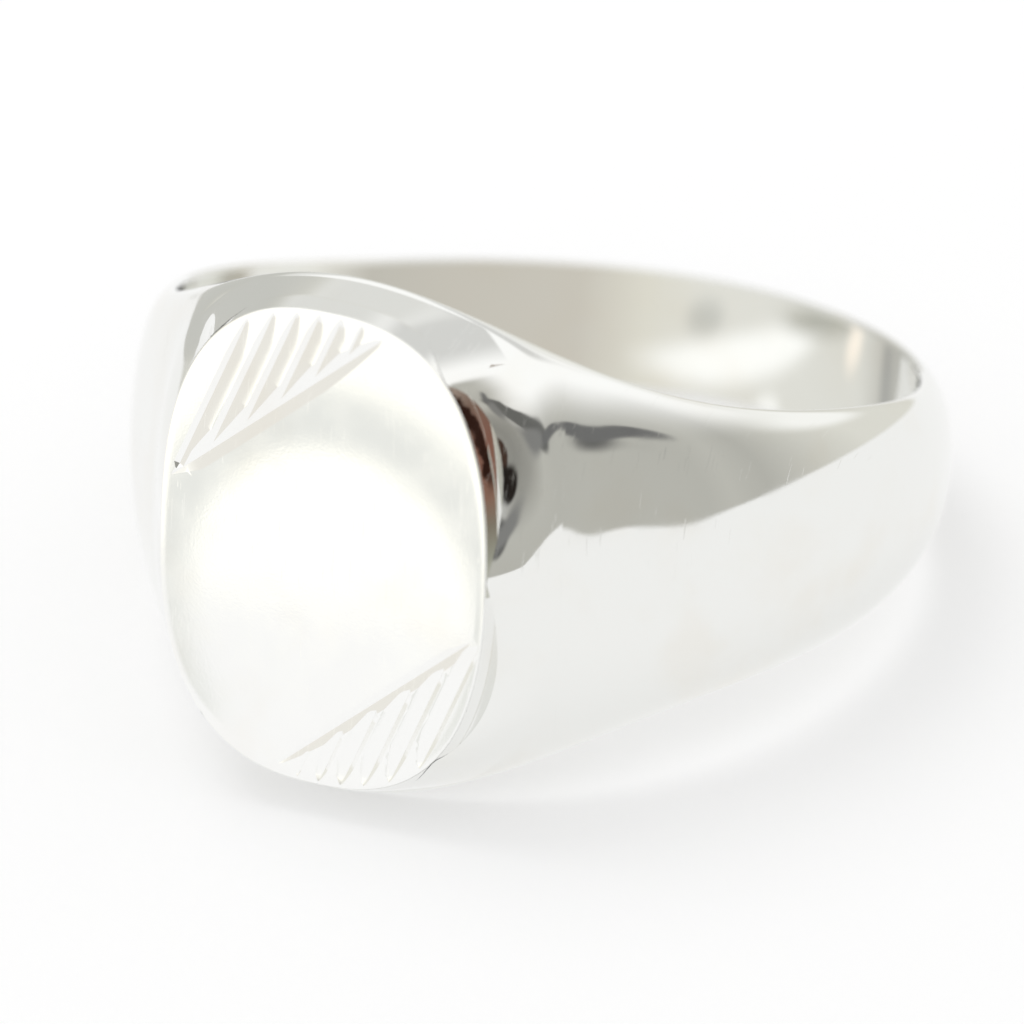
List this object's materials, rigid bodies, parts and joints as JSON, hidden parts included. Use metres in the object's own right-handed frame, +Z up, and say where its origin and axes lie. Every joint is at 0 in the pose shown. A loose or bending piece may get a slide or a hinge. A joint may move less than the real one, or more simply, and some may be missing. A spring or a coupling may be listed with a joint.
{
  "type": "signet ring",
  "caption": "Plain finger ring with a flat oval table, tapering shoulders and line engraving in two opposite corners of the table.",
  "frame": {"origin": "centre of the footprint on the table top that the ring lies on, at ground level", "axes": "+Z up from the ground; the engraved table faces -Y and leans back about 15 degrees, because the ring lies on its side with its deep head and its narrow back both touching the ground; +X to the right of someone facing the table"},
  "size_m": [0.021, 0.0226, 0.0132],
  "materials": {
    "polished_silver": "mirror-polished sterling silver with fine wear scratches",
    "satin_silver": "fine satin sterling silver table with bright-cut engraving",
    "lining_silver": "soft-polished sterling silver on the finger side",
    "hard_solder": "dressed hard silver solder, flush with the metal beside it"
  },
  "bodies": {
    "root": {"ring_body": "polished_silver", "face_plate": "satin_silver", "back_plate": "lining_silver", "face_solder_seam": "hard_solder", "back_solder_seam": "hard_solder", "sizing_solder_seam": "hard_solder"}
  },
  "joints": []
}
